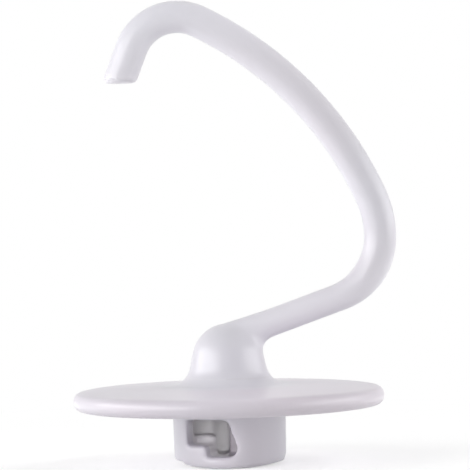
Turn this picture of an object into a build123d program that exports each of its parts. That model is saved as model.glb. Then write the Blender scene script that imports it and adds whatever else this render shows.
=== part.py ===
"""Dough hook for a stand mixer, in millimetres.

One casting: a hub with a bayonet socket for the drive shaft and its cross pin, a round dough shield,
a column that bends over into an arm, and a C-shaped rod cut off level at its tip. The origin is on
the hub axis in the plane of the foot, +Z points up the column, +X along the arm, and -Y faces the
viewer. Angles round the hub are counted from the front, -Y, and grow towards +X.
"""
import os
from math import cos, radians, sin, tan

from build123d import *

# Hub
HUB_DIAMETER = 41.6
HUB_HEIGHT = 21.3
HUB_DRAFT = 0.7
FOOT_EDGE_RADIUS = 0.8
FOOT_FLAT_WIDTH = 14.0
FOOT_SIDE_ANGLE = 5.2
FOOT_NOTCH_DEPTH = 2.1
FOOT_NOTCH_START_ANGLE = -102.0
FOOT_NOTCH_END_ANGLE = -57.0

# Dough shield
SHIELD_DIAMETER = 116.0
SHIELD_RIM_THICKNESS = 6.6
SHIELD_RIM_BULGE = 2.7
SHIELD_CROWN = 1.8

# Column, domed at the top
COLUMN_DRAFT = 12.0
COLUMN_ROOT_RADIUS = 8.0
DOME_RADIUS = 13.3
DOME_RISE = 11.1

# Arm and rod
ARM_RISE = 7.6
ARM_ANGLE = 19.0
ARM_LENGTH = 44.1
ARM_DIAMETER = 10.2
ARM_ROOT_DIAMETER = 12.0
ARM_ROOT_LENGTH = 20.0
ARM_HOLLOW_RADIUS = 5.0
ROD_DIAMETER = 12.0
THICKENING_ANGLE = 36.0
LOWER_BEND_RADIUS = 24.2
LOWER_BEND_ANGLE = 71.7
SIDE_BEND_RADIUS = 38.2
SIDE_BEND_ANGLE = 23.0
BACK_BEND_RADIUS = 135.0
BACK_BEND_ANGLE = 39.5
TIP_BEND_RADIUS = 18.2
TIP_BEND_ANGLE = 95.3
TIP_LENGTH = 13.7
TIP_EDGE_RADIUS = 1.4

# Drive socket
SHAFT_DIAMETER = 12.7
SHAFT_CLEARANCE = 0.1
MOUTH_CLEARANCE = 0.4
BORE_DEPTH = 32.0
PIN_DIAMETER = 4.8
PIN_LENGTH = 29.6
PIN_CLEARANCE = 0.3
TRACK_CEILING = 17.9
SILL_HEIGHT = 11.3
SILL_END_ANGLE = -44.0
STEP_HEIGHT = 8.7
SEAT_HEIGHT = 4.1
SEAT_ANGLE = -19.0
ENTRY_ANGLE = -90.0

# Windows in the hub wall, each looking along the seated pin
WINDOW_LEFT = 10.6
WINDOW_RIGHT_TOP = 6.0
WINDOW_RIGHT_FOOT = 10.0
WINDOW_LEDGE_HEIGHT = 8.3
WINDOW_DEPTH = 11.6
WINDOW_LARGE_RADIUS = 3.2
WINDOW_SMALL_RADIUS = 0.8

# Heights and radii that follow from the sizes above
hub_radius = HUB_DIAMETER / 2
hub_top_radius = hub_radius + HUB_HEIGHT * tan(radians(HUB_DRAFT))
shield_radius = SHIELD_DIAMETER / 2
rim_radius = shield_radius - SHIELD_RIM_BULGE
rim_middle = HUB_HEIGHT + SHIELD_RIM_THICKNESS / 2
rim_top = HUB_HEIGHT + SHIELD_RIM_THICKNESS
shield_top = rim_top + SHIELD_CROWN
dome_height = rim_top + DOME_RISE
column_top = dome_height + DOME_RADIUS * sin(radians(COLUMN_DRAFT))
column_top_radius = DOME_RADIUS * cos(radians(COLUMN_DRAFT))
column_foot_radius = column_top_radius + (column_top - shield_top) * tan(radians(COLUMN_DRAFT))
arm_height = dome_height + ARM_RISE
arm_radius = ARM_DIAMETER / 2
rod_radius = ROD_DIAMETER / 2
tip_spare = ROD_DIAMETER
bore_radius = SHAFT_DIAMETER / 2 + SHAFT_CLEARANCE
mouth_radius = SHAFT_DIAMETER / 2 + MOUTH_CLEARANCE
track_radius = PIN_LENGTH / 2 + PIN_CLEARANCE
track_width = PIN_DIAMETER + 2 * PIN_CLEARANCE
window_seat_left = track_width / 2


def square_to(point, direction):
    """Plane across the hook at a point of its own plane, facing along the given direction."""
    return Plane(origin=point, x_dir=(0, 1, 0), z_dir=direction)


def slices(radius, start_angle, end_angle):
    """Two opposite slices of a round, between two angles counted from the front and from the back."""
    with BuildSketch() as one_slice:
        with BuildLine():
            rim = CenterArc((0, 0), radius, start_angle - 90, end_angle - start_angle)
            Line((0, 0), rim @ 0)
            Line(rim @ 1, (0, 0))
        make_face()
    with BuildSketch() as both_slices:
        with PolarLocations(0, 2):
            add(one_slice.sketch)
    return both_slices.sketch


# Centre line of the arm's root, from the arm's nearest point to the dome's centre
arm_along = Vector(cos(radians(ARM_ANGLE)), sin(radians(ARM_ANGLE)))
arm_crossing = Vector(0, arm_height)
arm_start = arm_crossing - arm_along * ARM_RISE * arm_along.Y
with BuildLine():
    root_run = Line(arm_start, arm_start + arm_along * ARM_ROOT_LENGTH)

# Centre line of the arm and rod, with a spare length past the tip for the level cut
with BuildLine():
    arm_run = Line(root_run @ 1, arm_crossing + arm_along * ARM_LENGTH)
    thickening = JernArc(arm_run @ 1, arm_run % 1, LOWER_BEND_RADIUS, THICKENING_ANGLE)
    even_angle = LOWER_BEND_ANGLE - THICKENING_ANGLE
    lower_bend = JernArc(thickening @ 1, thickening % 1, LOWER_BEND_RADIUS, even_angle)
    side_bend = JernArc(lower_bend @ 1, lower_bend % 1, SIDE_BEND_RADIUS, SIDE_BEND_ANGLE)
    back_bend = JernArc(side_bend @ 1, side_bend % 1, BACK_BEND_RADIUS, BACK_BEND_ANGLE)
    tip_bend = JernArc(back_bend @ 1, back_bend % 1, TIP_BEND_RADIUS, TIP_BEND_ANGLE)
    tip_centre = tip_bend @ 1 + (tip_bend % 1) * TIP_LENGTH
    tip_run = Line(tip_bend @ 1, tip_centre + (tip_bend % 1) * tip_spare)

# Both lines, stood up in the hook's own plane
root_path = Plane.XZ * root_run
arm_path = Plane.XZ * arm_run
thickening_path = Plane.XZ * thickening
rod_path = [Plane.XZ * run for run in (lower_bend, side_bend, back_bend, tip_bend, tip_run)]

with BuildPart() as dough_hook:
    # Hub, shield and column, turned about the hub axis
    with BuildSketch(Plane.XZ):
        with BuildLine():
            FilletPolyline(
                (0, 0),
                (hub_radius, 0),
                (hub_top_radius, HUB_HEIGHT),
                radius=FOOT_EDGE_RADIUS,
            )
            Line((hub_top_radius, HUB_HEIGHT), (rim_radius, HUB_HEIGHT))
            EllipticalCenterArc(
                (rim_radius, rim_middle),
                SHIELD_RIM_BULGE,
                SHIELD_RIM_THICKNESS / 2,
                start_angle=-90,
                arc_size=180,
            )
            FilletPolyline(
                (rim_radius, rim_top),
                (column_foot_radius, shield_top),
                (column_top_radius, column_top),
                radius=COLUMN_ROOT_RADIUS,
            )
            CenterArc((0, dome_height), DOME_RADIUS, COLUMN_DRAFT, 90 - COLUMN_DRAFT)
            Line((0, dome_height + DOME_RADIUS), (0, 0))
        make_face()
    revolve(axis=Axis.Z)

    # Root of the arm, tapering out of the dome, with a hollow all round where they meet
    with BuildSketch(square_to(root_path @ 0, root_path % 0)):
        Circle(ARM_ROOT_DIAMETER / 2)
    with BuildSketch(square_to(root_path @ 1, root_path % 1)):
        Circle(arm_radius)
    loft()
    turned = (GeomType.CIRCLE, GeomType.LINE)
    crease = dough_hook.edges(Select.LAST).filter_by(lambda edge: edge.geom_type not in turned)
    fillet(crease, ARM_HOLLOW_RADIUS)

    # Arm, the part of the bend in which it thickens, and the rod
    with BuildSketch(square_to(arm_path @ 0, arm_path % 0)):
        Circle(arm_radius)
    sweep(path=arm_path)
    with BuildSketch(square_to(thickening_path @ 0, thickening_path % 0)):
        Circle(arm_radius)
    with BuildSketch(square_to(thickening_path @ 1, thickening_path % 1)):
        Circle(rod_radius)
    sweep(path=thickening_path, multisection=True)
    with BuildSketch(square_to(rod_path[0] @ 0, rod_path[0] % 0)):
        Circle(rod_radius)
    sweep(path=Wire(rod_path))

    # Tip cut off level
    with BuildSketch(Plane.XY.offset(tip_centre.Y)):
        with Locations((tip_centre.X, 0)):
            Circle(ROD_DIAMETER + tip_spare)
    extrude(amount=-rod_radius - tip_spare, mode=Mode.SUBTRACT)
    tip_face = dough_hook.faces(Select.LAST).filter_by(Plane.XY)
    fillet(tip_face.edges(), TIP_EDGE_RADIUS)

    # Shaft bore, closed at its upper end and wider in the mouth, up to the pin's track
    with BuildSketch():
        Circle(bore_radius)
    extrude(amount=BORE_DEPTH, mode=Mode.SUBTRACT)
    with BuildSketch():
        Circle(mouth_radius)
    extrude(amount=TRACK_CEILING, mode=Mode.SUBTRACT)

    # Way in for the cross pin
    with BuildSketch():
        Circle(track_radius)
        Rectangle(2 * track_radius, track_width, rotation=ENTRY_ANGLE + 90, mode=Mode.INTERSECT)
    extrude(amount=TRACK_CEILING, mode=Mode.SUBTRACT)

    # Track that the pin turns along: over a sill, down a step and into its seat
    for floor, start_angle, end_angle in (
        (SILL_HEIGHT, ENTRY_ANGLE, SILL_END_ANGLE),
        (STEP_HEIGHT, SILL_END_ANGLE, SEAT_ANGLE),
    ):
        with BuildSketch(Plane.XY.offset(floor)):
            add(slices(track_radius, start_angle, end_angle))
        extrude(amount=TRACK_CEILING - floor, mode=Mode.SUBTRACT)
    with BuildSketch(Plane.XY.offset(SEAT_HEIGHT)):
        Circle(track_radius)
        Rectangle(2 * track_radius, track_width, rotation=SEAT_ANGLE + 90, mode=Mode.INTERSECT)
    extrude(amount=TRACK_CEILING - SEAT_HEIGHT, mode=Mode.SUBTRACT)

    # Windows from the track out through the hub wall
    for turn in (SEAT_ANGLE, SEAT_ANGLE + 180):
        facing = Plane(
            origin=(0, 0, 0),
            x_dir=(cos(radians(turn)), sin(radians(turn)), 0),
            z_dir=(sin(radians(turn)), -cos(radians(turn)), 0),
        )
        with BuildSketch(facing.offset(hub_radius - WINDOW_DEPTH)):
            with BuildLine():
                FilletPolyline(
                    (-WINDOW_LEFT, WINDOW_LEDGE_HEIGHT),
                    (-window_seat_left, WINDOW_LEDGE_HEIGHT),
                    (-window_seat_left, SEAT_HEIGHT),
                    (WINDOW_RIGHT_FOOT, SEAT_HEIGHT),
                    (WINDOW_RIGHT_TOP, TRACK_CEILING),
                    (-WINDOW_LEFT, TRACK_CEILING),
                    radius=[
                        WINDOW_SMALL_RADIUS,
                        WINDOW_SMALL_RADIUS,
                        WINDOW_SMALL_RADIUS,
                        WINDOW_LARGE_RADIUS,
                        WINDOW_LARGE_RADIUS,
                        WINDOW_SMALL_RADIUS,
                    ],
                    close=True,
                )
            make_face()
        extrude(amount=HUB_DIAMETER, mode=Mode.SUBTRACT)

    # Foot: level in the middle, rising a little to both sides, and notched below the way in
    foot_side_rise = (hub_top_radius - FOOT_FLAT_WIDTH / 2) * tan(radians(FOOT_SIDE_ANGLE))
    with BuildSketch(Plane.XZ):
        with BuildLine():
            Polyline(
                (FOOT_FLAT_WIDTH / 2, 0),
                (hub_top_radius, foot_side_rise),
                (hub_top_radius, 0),
                close=True,
            )
        make_face()
        mirror(about=Plane.YZ)
    extrude(amount=hub_top_radius, both=True, mode=Mode.SUBTRACT)
    with BuildSketch():
        add(slices(hub_top_radius, FOOT_NOTCH_START_ANGLE, FOOT_NOTCH_END_ANGLE))
    extrude(amount=FOOT_NOTCH_DEPTH, mode=Mode.SUBTRACT)

dough_hook.part.label = "dough_hook"
os.makedirs("parts", exist_ok=True)
export_step(dough_hook.part, "parts/dough_hook.step")
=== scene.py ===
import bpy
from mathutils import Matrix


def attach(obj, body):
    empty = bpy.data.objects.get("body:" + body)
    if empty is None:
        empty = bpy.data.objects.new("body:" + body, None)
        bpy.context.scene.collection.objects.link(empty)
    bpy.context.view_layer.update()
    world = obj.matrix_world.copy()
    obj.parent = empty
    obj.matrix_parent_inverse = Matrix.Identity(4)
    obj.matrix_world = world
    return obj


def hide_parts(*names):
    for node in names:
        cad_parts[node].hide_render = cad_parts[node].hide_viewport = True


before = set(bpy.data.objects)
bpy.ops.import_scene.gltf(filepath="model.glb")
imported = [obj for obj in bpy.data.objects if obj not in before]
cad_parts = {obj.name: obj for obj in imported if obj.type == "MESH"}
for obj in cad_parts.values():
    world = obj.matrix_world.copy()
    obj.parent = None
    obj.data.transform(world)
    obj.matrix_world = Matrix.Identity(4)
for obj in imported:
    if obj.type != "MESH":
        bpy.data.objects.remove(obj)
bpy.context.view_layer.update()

from math import atan, cos, pi, radians, sin

import bmesh
import bpy
from mathutils import Matrix, Vector

scene = bpy.context.scene
scene.view_settings.view_transform = "Standard"


# Small helpers for node trees


def add_node(tree, kind, place, **settings):
    """A node at a place on the tree's sheet, with its settings and unlinked inputs filled in."""
    node = tree.nodes.new(kind)
    node.location = place
    inputs = settings.pop("inputs", {})
    for name, value in settings.items():
        setattr(node, name, value)
    for name, value in inputs.items():
        node.inputs[name].default_value = value
    return node


def new_material(name):
    """An empty node material with its output."""
    material = bpy.data.materials.new(name)
    material.use_nodes = True
    tree = material.node_tree
    tree.nodes.clear()
    return material, tree, add_node(tree, "ShaderNodeOutputMaterial", (900, 0))


def combined(tree, place, operation, first, second):
    """A value worked out from two others."""
    node = add_node(tree, "ShaderNodeMath", place, operation=operation)
    tree.links.new(first, node.inputs[0])
    tree.links.new(second, node.inputs[1])
    return node.outputs["Value"]


def along(tree, place, where, direction):
    """How far a point lies along a direction."""
    node = add_node(tree, "ShaderNodeVectorMath", place, operation="DOT_PRODUCT")
    node.inputs[1].default_value = direction
    tree.links.new(where, node.inputs[0])
    return node.outputs["Value"]


def length_of(tree, place, where):
    """How far a point lies from the origin."""
    node = add_node(tree, "ShaderNodeVectorMath", place, operation="LENGTH")
    tree.links.new(where, node.inputs[0])
    return node.outputs["Value"]


def soft_step(tree, place, value, limits, rising=True):
    """A mask that rises softly from 0 to 1 between two limits of a value, or falls from 1 to 0."""
    start, end = (0.0, 1.0) if rising else (1.0, 0.0)
    step = add_node(
        tree,
        "ShaderNodeMapRange",
        place,
        interpolation_type="SMOOTHSTEP",
        inputs={"From Min": limits[0], "From Max": limits[1], "To Min": start, "To Max": end},
    )
    tree.links.new(value, step.inputs["Value"])
    return step.outputs["Result"]


def noise(tree, place, where, scale, detail, roughness):
    """A value that wanders over the piece."""
    node = add_node(
        tree,
        "ShaderNodeTexNoise",
        place,
        inputs={"Scale": scale, "Detail": detail, "Roughness": roughness},
    )
    tree.links.new(where, node.inputs["Vector"])
    return node.outputs["Fac"]


def tinted(tree, place, colour, tint, mask, blend="MIX"):
    """A colour that takes another tint where the mask is 1."""
    node = add_node(
        tree, "ShaderNodeMix", place, data_type="RGBA", blend_type=blend, inputs={"B": tint}
    )
    tree.links.new(mask, node.inputs["Factor"])
    tree.links.new(colour, node.inputs["A"])
    return node.outputs["Result"]


# White baked coat: its finish

COAT_IOR = 1.5
COAT_SPECULAR = 1.0
CLOUD_SCALE = 16.0
CLOUD_RANGE = (0.2, 0.8)
GLOSS_SCALE = 90.0
GLOSS_RANGE = (0.15, 0.85)
GLOSS_ROUGHNESS = (0.28, 0.34)
PEEL_SCALE = 520.0
PEEL_STRENGTH = 0.12
PEEL_DEPTH = 0.00006

# White baked coat: its tints, painted light and painted shade, and where they change, in metres from
# the hub's axis or above the foot

COOL_WHITE = (0.802, 0.796, 0.858, 1)
PINK_WHITE = (0.820, 0.786, 0.846, 1)
SHIELD_BLUSH = (0.992, 0.952, 0.970, 1)
SHIELD_INNER_EDGE = (0.020, 0.030)
SHIELD_TOP = (0.032, 0.036)
# Painted light: the socket's inside is whiter, standing in for light that reaches into it
SOCKET_PAINTED_LIGHT = (0.955, 0.935, 0.955, 1)
SOCKET_WALL = (0.0154, 0.0164)
SOCKET_TOP = (0.0315, 0.0330)
# Painted shade: the pockets beside the pin's seat are greyer, standing in for their shade
POCKET_PAINTED_SHADE = (0.430, 0.390, 0.436, 1)
BORE_WALL = (0.0080, 0.0088)

# Pockets beside the pin's seat: the seat's angle in degrees, and sideways reach over outward reach

SEAT_ANGLE = -19.0
POCKET_SLANT = (0.25, 0.32)


def cloudy_tint(tree, where):
    """The coat's own colour, from a cool white to a faintly pink one in soft clouds."""
    clouds = noise(tree, (-700, 300), where, scale=CLOUD_SCALE, detail=1.0, roughness=0.4)
    tint = add_node(tree, "ShaderNodeValToRGB", (-450, 300))
    ramp = tint.color_ramp
    ramp.interpolation = "EASE"
    for stop, position, colour in zip(ramp.elements, CLOUD_RANGE, (COOL_WHITE, PINK_WHITE)):
        stop.position = position
        stop.color = colour
    tree.links.new(clouds, tint.inputs["Fac"])
    return tint.outputs["Color"]


def beside_seat(tree, flat, reach):
    """A mask of the sectors beside the pin's seat, one for each window, outside the bore, where shade
    is painted.
    """
    seat = radians(SEAT_ANGLE)
    sideways = along(tree, (-700, -1050), flat, (cos(seat), sin(seat), 0))
    outward = along(tree, (-700, -1250), flat, (sin(seat), -cos(seat), 0))
    slant = combined(tree, (-520, -1150), "DIVIDE", sideways, outward)
    beside = soft_step(tree, (-340, -1150), slant, POCKET_SLANT)
    off_bore = soft_step(tree, (-340, -1400), reach, BORE_WALL)
    return combined(tree, (-140, -1250), "MULTIPLY", beside, off_bore)


def white_baked_coat():
    """Semi-gloss white coat with faint clouds and fine orange peel, a pinker shield, painted light in
    the socket and painted shade in its pockets.
    """
    material, tree, output = new_material("white_baked_coat")
    link = tree.links.new
    shader = add_node(
        tree,
        "ShaderNodeBsdfPrincipled",
        (600, 0),
        inputs={"IOR": COAT_IOR, "Specular IOR Level": COAT_SPECULAR},
    )
    link(shader.outputs["BSDF"], output.inputs["Surface"])

    # Height above the foot, and distance from the hub's axis
    where = add_node(tree, "ShaderNodeTexCoord", (-1100, 0)).outputs["Object"]
    split = add_node(tree, "ShaderNodeSeparateXYZ", (-900, -150))
    link(where, split.inputs["Vector"])
    height = split.outputs["Z"]
    level = add_node(tree, "ShaderNodeCombineXYZ", (-700, -100))
    link(split.outputs["X"], level.inputs["X"])
    link(split.outputs["Y"], level.inputs["Y"])
    flat = level.outputs["Vector"]
    reach = length_of(tree, (-520, -100), flat)

    # Shield, where the coat is faintly pinker
    off_hub = soft_step(tree, (-340, 700), reach, SHIELD_INNER_EDGE)
    low = soft_step(tree, (-340, 500), height, SHIELD_TOP, rising=False)
    shield = combined(tree, (-140, 600), "MULTIPLY", off_hub, low)
    colour = tinted(tree, (100, 400), cloudy_tint(tree, where), SHIELD_BLUSH, shield, "MULTIPLY")

    # Inside of the socket: painted light, a whiter colour that stands in for light reaching into it
    within = soft_step(tree, (-340, -100), reach, SOCKET_WALL, rising=False)
    below = soft_step(tree, (-340, -350), height, SOCKET_TOP, rising=False)
    socket = combined(tree, (-140, -200), "MULTIPLY", within, below)
    colour = tinted(tree, (300, 200), colour, SOCKET_PAINTED_LIGHT, socket)

    # Pockets beside the pin's seat: painted shade, a darker grey that stands in for the shade in these
    # recesses
    pocket_shade = combined(tree, (60, -1150), "MULTIPLY", beside_seat(tree, flat, reach), socket)
    colour = tinted(tree, (450, 200), colour, POCKET_PAINTED_SHADE, pocket_shade)
    link(colour, shader.inputs["Base Color"])

    # Gloss that wanders a little
    wander = noise(tree, (-700, -550), where, scale=GLOSS_SCALE, detail=2.0, roughness=0.5)
    gloss = add_node(
        tree,
        "ShaderNodeMapRange",
        (-340, -580),
        inputs={
            "From Min": GLOSS_RANGE[0],
            "From Max": GLOSS_RANGE[1],
            "To Min": GLOSS_ROUGHNESS[0],
            "To Max": GLOSS_ROUGHNESS[1],
        },
    )
    link(wander, gloss.inputs["Value"])
    link(gloss.outputs["Result"], shader.inputs["Roughness"])

    # Orange peel
    peel = noise(tree, (-700, -800), where, scale=PEEL_SCALE, detail=1.5, roughness=0.4)
    bump = add_node(
        tree,
        "ShaderNodeBump",
        (-140, -800),
        inputs={"Strength": PEEL_STRENGTH, "Distance": PEEL_DEPTH},
    )
    link(peel, bump.inputs["Height"])
    link(bump.outputs["Normal"], shader.inputs["Normal"])
    return material


# Coated casting: lengths in metres, and rounds of flow

SEAM_WELD = 0.000002
SKIN_CELL = 0.00072
COAT_FLOW = 4
COAT_THICKNESS = 0.0001


def flowing_coat():
    """Geometry nodes for the coat: corners soften as it flows, and its thickness lifts the skin."""
    tree = bpy.data.node_groups.new("flowing_coat", "GeometryNodeTree")
    tree.is_modifier = True
    sockets = tree.interface
    sockets.new_socket("Casting", in_out="INPUT", socket_type="NodeSocketGeometry")
    sockets.new_socket("Flow", in_out="INPUT", socket_type="NodeSocketInt")
    sockets.new_socket("Thickness", in_out="INPUT", socket_type="NodeSocketFloat")
    sockets.new_socket("Finish", in_out="INPUT", socket_type="NodeSocketMaterial")
    sockets.new_socket("Coated", in_out="OUTPUT", socket_type="NodeSocketGeometry")
    link = tree.links.new
    given = add_node(tree, "NodeGroupInput", (-900, 0))
    result = add_node(tree, "NodeGroupOutput", (900, 0))

    place = add_node(tree, "GeometryNodeInputPosition", (-900, -250))
    flow = add_node(tree, "GeometryNodeBlurAttribute", (-650, -200), data_type="FLOAT_VECTOR")
    link(place.outputs["Position"], flow.inputs["Value"])
    link(given.outputs["Flow"], flow.inputs["Iterations"])
    soften = add_node(tree, "GeometryNodeSetPosition", (-400, 0))
    link(given.outputs["Casting"], soften.inputs["Geometry"])
    link(flow.outputs["Value"], soften.inputs["Position"])

    outward = add_node(tree, "GeometryNodeInputNormal", (-400, -300))
    lift = add_node(tree, "ShaderNodeVectorMath", (-200, -300), operation="SCALE")
    link(outward.outputs["Normal"], lift.inputs[0])
    link(given.outputs["Thickness"], lift.inputs["Scale"])
    thicken = add_node(tree, "GeometryNodeSetPosition", (0, 0))
    link(soften.outputs["Geometry"], thicken.inputs["Geometry"])
    link(lift.outputs["Vector"], thicken.inputs["Offset"])

    smooth = add_node(tree, "GeometryNodeSetShadeSmooth", (220, 0))
    link(thicken.outputs["Geometry"], smooth.inputs["Geometry"])
    realize = add_node(tree, "GeometryNodeRealizeInstances", (440, 0))
    link(smooth.outputs["Geometry"], realize.inputs["Geometry"])
    finish = add_node(tree, "GeometryNodeSetMaterial", (660, 0))
    link(realize.outputs["Geometry"], finish.inputs["Geometry"])
    link(given.outputs["Finish"], finish.inputs["Material"])
    link(finish.outputs["Geometry"], result.inputs["Coated"])
    return tree


def coated_hook(material):
    """The casting's own shape on an even skin, with the coat flowed over it, as a plain mesh."""
    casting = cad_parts["dough_hook"].data.copy()
    casting.materials.clear()
    seams = bmesh.new()
    seams.from_mesh(casting)
    bmesh.ops.remove_doubles(seams, verts=seams.verts, dist=SEAM_WELD)
    seams.to_mesh(casting)
    seams.free()
    hook = bpy.data.objects.new("coated_hook", casting)
    scene.collection.objects.link(hook)

    skin = hook.modifiers.new("even_skin", "REMESH")
    skin.mode = "VOXEL"
    skin.voxel_size = SKIN_CELL
    coat = hook.modifiers.new("coat", "NODES")
    coat.node_group = flowing_coat()
    values = {"Flow": COAT_FLOW, "Thickness": COAT_THICKNESS, "Finish": material}
    for item in coat.node_group.interface.items_tree:
        if item.name in values:
            coat[item.identifier] = values[item.name]

    shown = hook.evaluated_get(bpy.context.evaluated_depsgraph_get())
    mesh = bpy.data.meshes.new_from_object(shown)
    hook.modifiers.clear()
    hook.data = mesh
    bpy.data.meshes.remove(casting)
    return hook


hook = coated_hook(white_baked_coat())
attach(hook, "root")
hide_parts("dough_hook")


# Camera at the photograph's viewing angle


def photo_camera(height, distance, pitch, yaw, roll, lens, sensor):
    """Camera in front of the hook, in metres, turned by small angles in degrees."""
    yaw, pitch, roll = radians(yaw), radians(pitch), radians(roll)
    right = Vector((cos(yaw), -sin(yaw), 0))
    ahead = Vector((sin(yaw) * cos(pitch), cos(yaw) * cos(pitch), -sin(pitch)))
    up = Vector((sin(yaw) * sin(pitch), cos(yaw) * sin(pitch), cos(pitch)))
    rolled_right = cos(roll) * right - sin(roll) * up
    rolled_up = sin(roll) * right + cos(roll) * up
    turn = Matrix((rolled_right, rolled_up, -ahead)).transposed().to_4x4()
    data = bpy.data.cameras.new("photo_camera")
    data.sensor_width = sensor
    data.lens = lens
    camera = bpy.data.objects.new("photo_camera", data)
    scene.collection.objects.link(camera)
    camera.matrix_world = Matrix.Translation((0, -distance, height)) @ turn
    return camera


scene.camera = photo_camera(
    height=0.098035, distance=1.0, pitch=0.73, yaw=0.218, roll=1.454, lens=205.25, sensor=36.0
)


# Pale floor and white surroundings: lengths in metres, and strengths of light

FLOOR_GREY = (0.83, 0.83, 0.83, 1)
FLOOR_LIFT = 0.5
FLOOR_FADE = (0.05, 0.30)
FLOOR_HALF = 4.0
FLOOR_DROP = 0.0002
PLAIN_WHITE = 1.0
FRONT_LIGHT = 0.21
BACK_LIGHT = 0.40


def seen_or_mirrored(tree):
    """A mask that is 1 for rays from the camera, mirrored or passed through, and 0 for soft light."""
    path = add_node(tree, "ShaderNodeLightPath", (-700, 200)).outputs
    seen = combined(tree, (-500, 200), "MAXIMUM", path["Is Camera Ray"], path["Is Transmission Ray"])
    return combined(tree, (-300, 200), "MAXIMUM", seen, path["Is Glossy Ray"])


def pale_floor_finish():
    """Pale near the foot, where it keeps the shadow, and running out to plain white when looked at."""
    material, tree, output = new_material("pale_floor")
    link = tree.links.new
    straight = seen_or_mirrored(tree)

    # Near the foot: a pale sheet, lifted a little when looked at
    sheet = add_node(tree, "ShaderNodeBsdfDiffuse", (200, 250), inputs={"Color": FLOOR_GREY})
    glow = add_node(tree, "ShaderNodeEmission", (200, 100))
    lift = add_node(tree, "ShaderNodeMath", (0, 100), operation="MULTIPLY")
    lift.inputs[1].default_value = FLOOR_LIFT
    link(straight, lift.inputs[0])
    link(lift.outputs["Value"], glow.inputs["Strength"])
    near = add_node(tree, "ShaderNodeAddShader", (400, 200))
    link(sheet.outputs["BSDF"], near.inputs[0])
    link(glow.outputs["Emission"], near.inputs[1])

    # Further out: white
    white = add_node(tree, "ShaderNodeEmission", (400, 0), inputs={"Strength": PLAIN_WHITE})
    where = add_node(tree, "ShaderNodeTexCoord", (-900, -150)).outputs["Object"]
    away = soft_step(tree, (-500, -150), length_of(tree, (-700, -150), where), FLOOR_FADE)
    both = add_node(tree, "ShaderNodeMixShader", (650, 50))
    link(combined(tree, (-200, -100), "MULTIPLY", away, straight), both.inputs["Fac"])
    link(near.outputs["Shader"], both.inputs[1])
    link(white.outputs["Emission"], both.inputs[2])
    link(both.outputs["Shader"], output.inputs["Surface"])
    return material


def pale_floor():
    """A wide floor just below the foot."""
    corners = ((-1, -1), (1, -1), (1, 1), (-1, 1))
    mesh = bpy.data.meshes.new("pale_floor")
    mesh.from_pydata(
        [(x * FLOOR_HALF, y * FLOOR_HALF, -FLOOR_DROP) for x, y in corners], [], [(0, 1, 2, 3)]
    )
    mesh.materials.append(pale_floor_finish())
    floor = bpy.data.objects.new("pale_floor", mesh)
    scene.collection.objects.link(floor)


def white_room():
    """Plain white where seen or mirrored, and otherwise a soft light, stronger from behind the hook."""
    world = bpy.data.worlds.new("white_room")
    world.use_nodes = True
    scene.world = world
    tree = world.node_tree
    tree.nodes.clear()
    link = tree.links.new
    output = add_node(tree, "ShaderNodeOutputWorld", (600, 0))
    soft = add_node(tree, "ShaderNodeBackground", (150, 120), inputs={"Color": (1, 1, 1, 1)})
    way = add_node(tree, "ShaderNodeTexCoord", (-500, 500))
    split = add_node(tree, "ShaderNodeSeparateXYZ", (-300, 500))
    link(way.outputs["Generated"], split.inputs["Vector"])
    level = add_node(
        tree,
        "ShaderNodeMapRange",
        (-100, 500),
        inputs={"From Min": 0.0, "From Max": 1.0, "To Min": FRONT_LIGHT, "To Max": BACK_LIGHT},
    )
    link(split.outputs["Y"], level.inputs["Value"])
    link(level.outputs["Result"], soft.inputs["Strength"])
    white = add_node(
        tree,
        "ShaderNodeBackground",
        (150, -60),
        inputs={"Color": (1, 1, 1, 1), "Strength": PLAIN_WHITE},
    )
    mix = add_node(tree, "ShaderNodeMixShader", (380, 0))
    link(seen_or_mirrored(tree), mix.inputs["Fac"])
    link(soft.outputs["Background"], mix.inputs[1])
    link(white.outputs["Background"], mix.inputs[2])
    link(mix.outputs["Shader"], output.inputs["Surface"])


# Soft studio light: places and lengths in metres

LAMP_DISTANCE = 1.0
PANEL_AIM = Vector((0, 0, 0.085))
TABLE_PANEL_REACH = 0.26
TABLE_PANEL_WIDTH = 0.30
TABLE_PANEL_LENGTH = 0.60
TABLE_PANEL_LIFT = 0.001
WINDOW_AIM = Vector((-0.0034, -0.019, 0.0085))
BEND_AIM = Vector((-0.012, 0, 0.162))
ARM_AIM = Vector((0.022, 0, 0.063))
SHIELD_AIM = Vector((0.002, -0.042, 0.029))
UP = Vector((0, 0, 1))


def away_from_hook(turn, rise):
    """The direction away from the hook, turned from the camera's side and raised, in degrees."""
    turn, rise = radians(turn), radians(rise)
    return Vector((sin(turn) * cos(rise), -cos(turn) * cos(rise), sin(rise)))


def set_lamp(data, place, shining, mirrored):
    """Puts a lamp in its place, shining one way: not seen itself, and mirrored in the coat or not."""
    lamp = bpy.data.objects.new(data.name, data)
    scene.collection.objects.link(lamp)
    lamp.location = place
    lamp.rotation_euler = shining.to_track_quat("-Z", "Y").to_euler()
    lamp.visible_camera = False
    lamp.visible_glossy = mirrored


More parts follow.
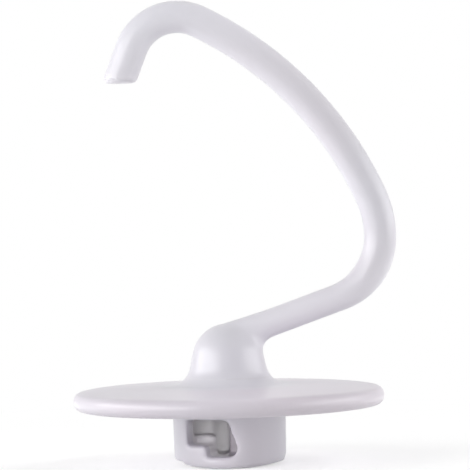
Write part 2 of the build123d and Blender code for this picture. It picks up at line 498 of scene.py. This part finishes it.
def soft_panel(name, width, height, glow):
    """A lit panel, as bright to look at as plain white where its glow is 1."""
    data = bpy.data.lights.new(name, "AREA")
    data.shape = "RECTANGLE"
    data.size = width
    data.size_y = height
    data.energy = glow * pi * width * height
    return data


def standing_panel(name, turn, rise, width, height, glow, mirrored=True):
    """A panel that stands or hangs round the hook and faces its middle."""
    away = away_from_hook(turn, rise)
    place = PANEL_AIM + away * LAMP_DISTANCE
    set_lamp(soft_panel(name, width, height, glow), place, PANEL_AIM - place, mirrored)


def table_panel(name, across, glow):
    """A panel that lies on the table beside the hook and lights it from below."""
    panel = soft_panel(name, TABLE_PANEL_WIDTH, TABLE_PANEL_LENGTH, glow)
    set_lamp(panel, Vector((across, 0, TABLE_PANEL_LIFT)), UP, mirrored=True)


def soft_beam(name, aim, turn, rise, radius, lamp_radius, power):
    """A round beam with a soft edge that lights one place of the hook alone and leaves no glint."""
    data = bpy.data.lights.new(name, "SPOT")
    data.energy = power
    data.spot_size = 2 * atan(radius / LAMP_DISTANCE)
    data.spot_blend = 1.0
    data.shadow_soft_size = lamp_radius
    away = away_from_hook(turn, rise)
    set_lamp(data, aim + away * LAMP_DISTANCE, -away, mirrored=False)


pale_floor()
white_room()
soft_beam("window_beam", WINDOW_AIM, turn=0.4, rise=0.3, radius=0.011, lamp_radius=0.004, power=11.0)
soft_beam("bend_beam", BEND_AIM, turn=40, rise=55, radius=0.055, lamp_radius=0.03, power=8.5)
soft_beam("arm_beam", ARM_AIM, turn=12, rise=18, radius=0.036, lamp_radius=0.01, power=5.5)
soft_beam("shield_beam", SHIELD_AIM, turn=0, rise=60, radius=0.031, lamp_radius=0.01, power=4.5)
standing_panel("left_panel", turn=-70, rise=13, width=1.8, height=0.50, glow=2.6)
standing_panel("left_high_panel", turn=-62, rise=40, width=0.7, height=0.4, glow=1.3, mirrored=False)
standing_panel("right_panel", turn=84, rise=13, width=1.15, height=0.50, glow=1.75)
standing_panel("right_high_panel", turn=98, rise=40, width=0.8, height=0.4, glow=1.9, mirrored=False)
table_panel("left_table_panel", -TABLE_PANEL_REACH, glow=0.75)
table_panel("right_table_panel", TABLE_PANEL_REACH, glow=0.5)
